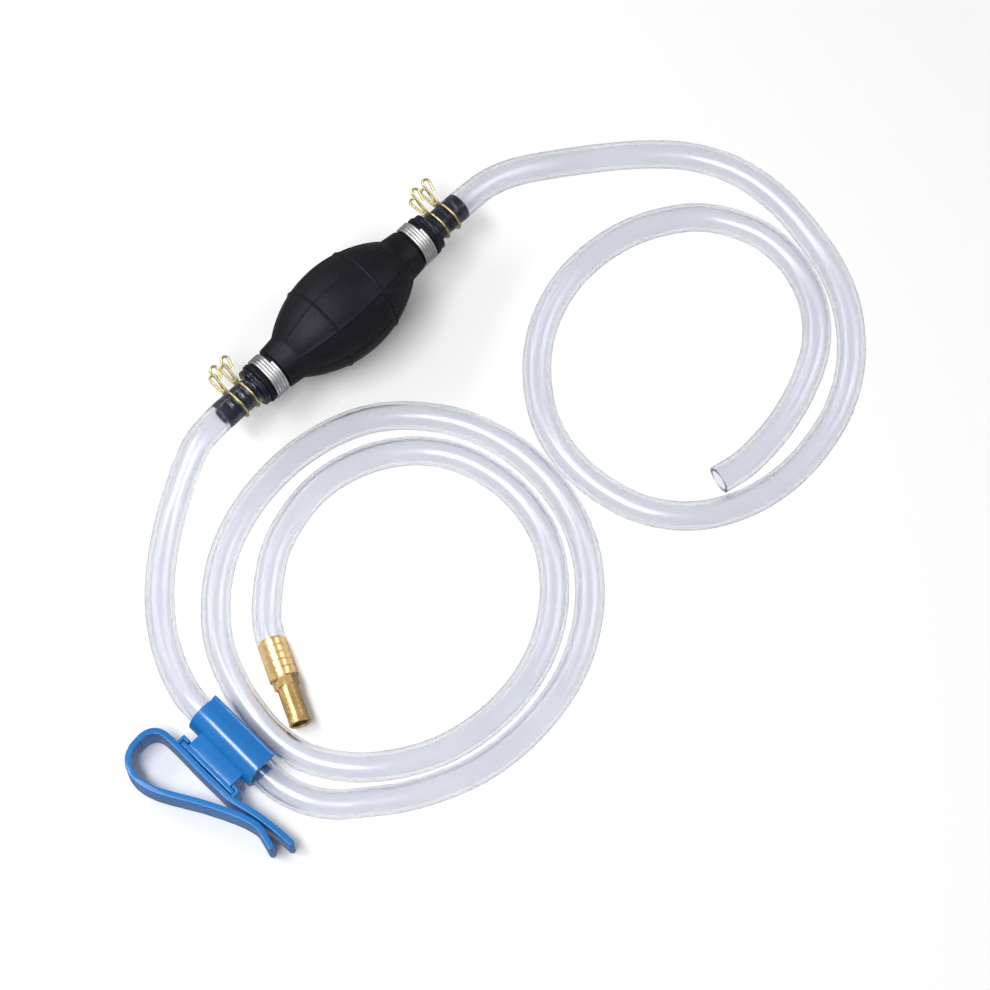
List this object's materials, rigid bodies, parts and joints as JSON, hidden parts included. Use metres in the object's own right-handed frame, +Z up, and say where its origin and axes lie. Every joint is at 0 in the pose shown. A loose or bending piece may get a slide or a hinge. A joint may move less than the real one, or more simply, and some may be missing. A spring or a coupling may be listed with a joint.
{
  "type": "gravel vacuum siphon",
  "caption": "Squeeze-bulb siphon pump with a check valve at each end, two coiled clear hoses, a brass hose connector and a spring clip that hangs the hose on a tank's rim.",
  "frame": {"origin": "on the resting surface, under the middle of the squeeze bulb", "axes": "+X along the bulb and the flow, from the inlet to the outlet; +Z up from the surface that the hoses lie on; +Y to the side away from the coils"},
  "size_m": [0.4372, 0.2416, 0.0495],
  "materials": {
    "bulb_rubber": "charcoal moulded rubber with a soft sheen",
    "dark_nylon": "glossy blue-black moulded plastic",
    "ring_steel": "bright drawn wire",
    "plated_wire": "yellow zinc-plated spring wire",
    "valve_plastic": "natural white moulded plastic",
    "clear_hose": "clear flexible hose with a faint lavender tint",
    "brass": "polished turned brass",
    "blue_plastic": "glossy sky-blue moulded plastic"
  },
  "bodies": {
    "siphon": {"primer_bulb": "bulb_rubber", "inlet_valve_housing": "dark_nylon", "outlet_valve_housing": "dark_nylon", "inlet_wound_ring": "ring_steel", "outlet_wound_ring": "ring_steel", "inlet_valve_guide": "valve_plastic", "outlet_valve_seat": "valve_plastic", "inlet_valve_spring": "ring_steel", "outlet_valve_spring": "ring_steel", "inlet_hose": "clear_hose", "outlet_hose": "clear_hose", "inlet_wire_clip_inner": "plated_wire", "inlet_wire_clip_outer": "plated_wire", "outlet_wire_clip_inner": "plated_wire", "outlet_wire_clip_outer": "plated_wire", "brass_connector": "brass", "hose_holder": "blue_plastic"},
    "inlet_poppet": {"inlet_valve_poppet": "valve_plastic"},
    "outlet_poppet": {"outlet_valve_poppet": "valve_plastic"},
    "tank_clip": {"clip_back_arm": "blue_plastic"},
    "clip_jaw": {"clip_spring_arm": "blue_plastic"}
  },
  "joints": [
    {"name": "inlet_valve_opens", "type": "slide", "parent": "siphon", "child": "inlet_poppet", "axis": [1, 0, 0], "range_m": [0, 0.0025], "stiffness_N_per_m": 30, "deforming": ["inlet_valve_spring"]},
    {"name": "outlet_valve_opens", "type": "slide", "parent": "siphon", "child": "outlet_poppet", "axis": [1, 0, 0], "range_m": [0, 0.0025], "stiffness_N_per_m": 30, "deforming": ["outlet_valve_spring"]},
    {"name": "clip_slides_on_holder", "type": "slide", "parent": "siphon", "child": "tank_clip", "axis": [0, 0, 1], "range_m": [0, 0.012]},
    {"name": "jaw_opens", "type": "hinge", "parent": "tank_clip", "child": "clip_jaw", "pos_m": [-0.216, -0.0858, 0], "axis": [0, 0, -1], "range_deg": [0, 12], "stiffness_Nm_per_rad": 0.6}
  ]
}
